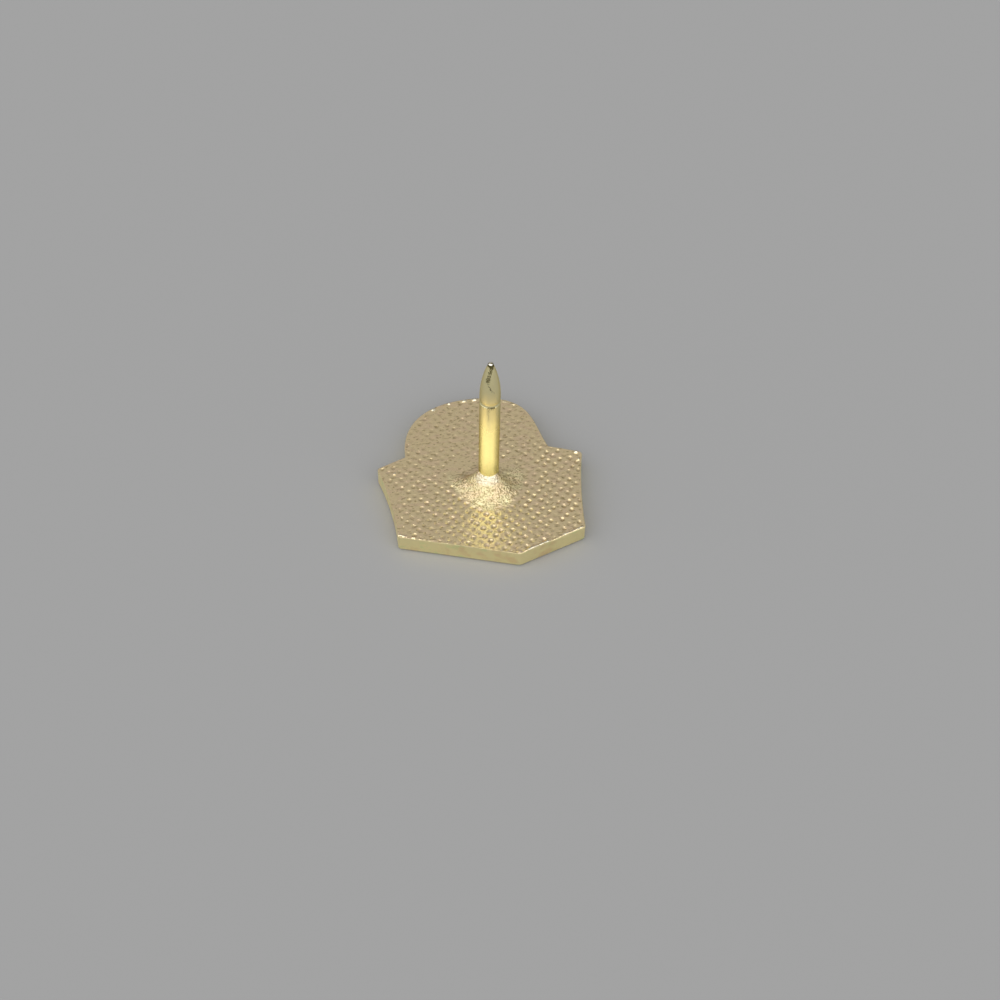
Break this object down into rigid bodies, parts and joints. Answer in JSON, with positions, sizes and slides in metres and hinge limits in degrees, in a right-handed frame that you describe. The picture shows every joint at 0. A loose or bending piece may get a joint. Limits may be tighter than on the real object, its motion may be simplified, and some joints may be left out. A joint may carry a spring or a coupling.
{
  "type": "basket brooch",
  "caption": "Small gold-plated lapel pin shaped as a wicker picnic basket, with a knurled back and a soldered nail post for a clutch.",
  "frame": {"origin": "middle of the footprint of the plate, on the surface that the pin's front lies on", "axes": "+Z along the post, away from the plate's back; +Y up the basket towards its handle; X along the rim"},
  "size_m": [0.0124, 0.0124, 0.0113],
  "materials": {
    "gold_plate": "satin pale gold plating, knurled on the back"
  },
  "bodies": {
    "root": {"basket_pin": "gold_plate"}
  },
  "joints": []
}
